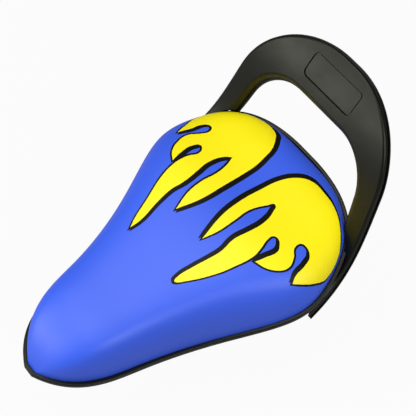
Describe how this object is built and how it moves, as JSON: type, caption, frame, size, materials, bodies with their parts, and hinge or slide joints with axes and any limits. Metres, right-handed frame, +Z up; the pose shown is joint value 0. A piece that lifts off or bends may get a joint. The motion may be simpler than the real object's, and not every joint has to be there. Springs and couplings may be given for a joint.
{
  "type": "bicycle saddle cushion",
  "caption": "Child's bicycle saddle: padded cushion with a flame print in a moulded tray whose rear rises into a loop handle, on wire rails with a seat post clamp.",
  "frame": {"origin": "on the seat post's axis, at the middle of the clamp strap's height", "axes": "+X forward to the nose, +Y to the rider's left, +Z up along the seat post"},
  "size_m": [0.271, 0.1776, 0.2069],
  "materials": {
    "vinyl": "satin blue vinyl with a printed flame",
    "foam": "open-cell polyurethane foam",
    "pan": "moulded polypropylene",
    "tray": "fine-grained moulded polypropylene",
    "rail": "black powder-coated steel wire",
    "zinc": "bright zinc-plated steel"
  },
  "bodies": {
    "root": {"cover": "vinyl", "foam_pad": "foam", "saddle_pan": "pan", "base_shell": "tray", "front_left_screw": "zinc", "front_right_screw": "zinc", "rear_left_screw": "zinc", "rear_right_screw": "zinc", "left_rail": "rail", "right_rail": "rail", "clamp_strap": "zinc", "clamp_bolt": "zinc", "left_inner_plate": "zinc", "left_outer_plate": "zinc", "left_washer": "zinc", "left_nut": "zinc", "right_inner_plate": "zinc", "right_outer_plate": "zinc", "right_washer": "zinc", "right_nut": "zinc"}
  },
  "joints": []
}
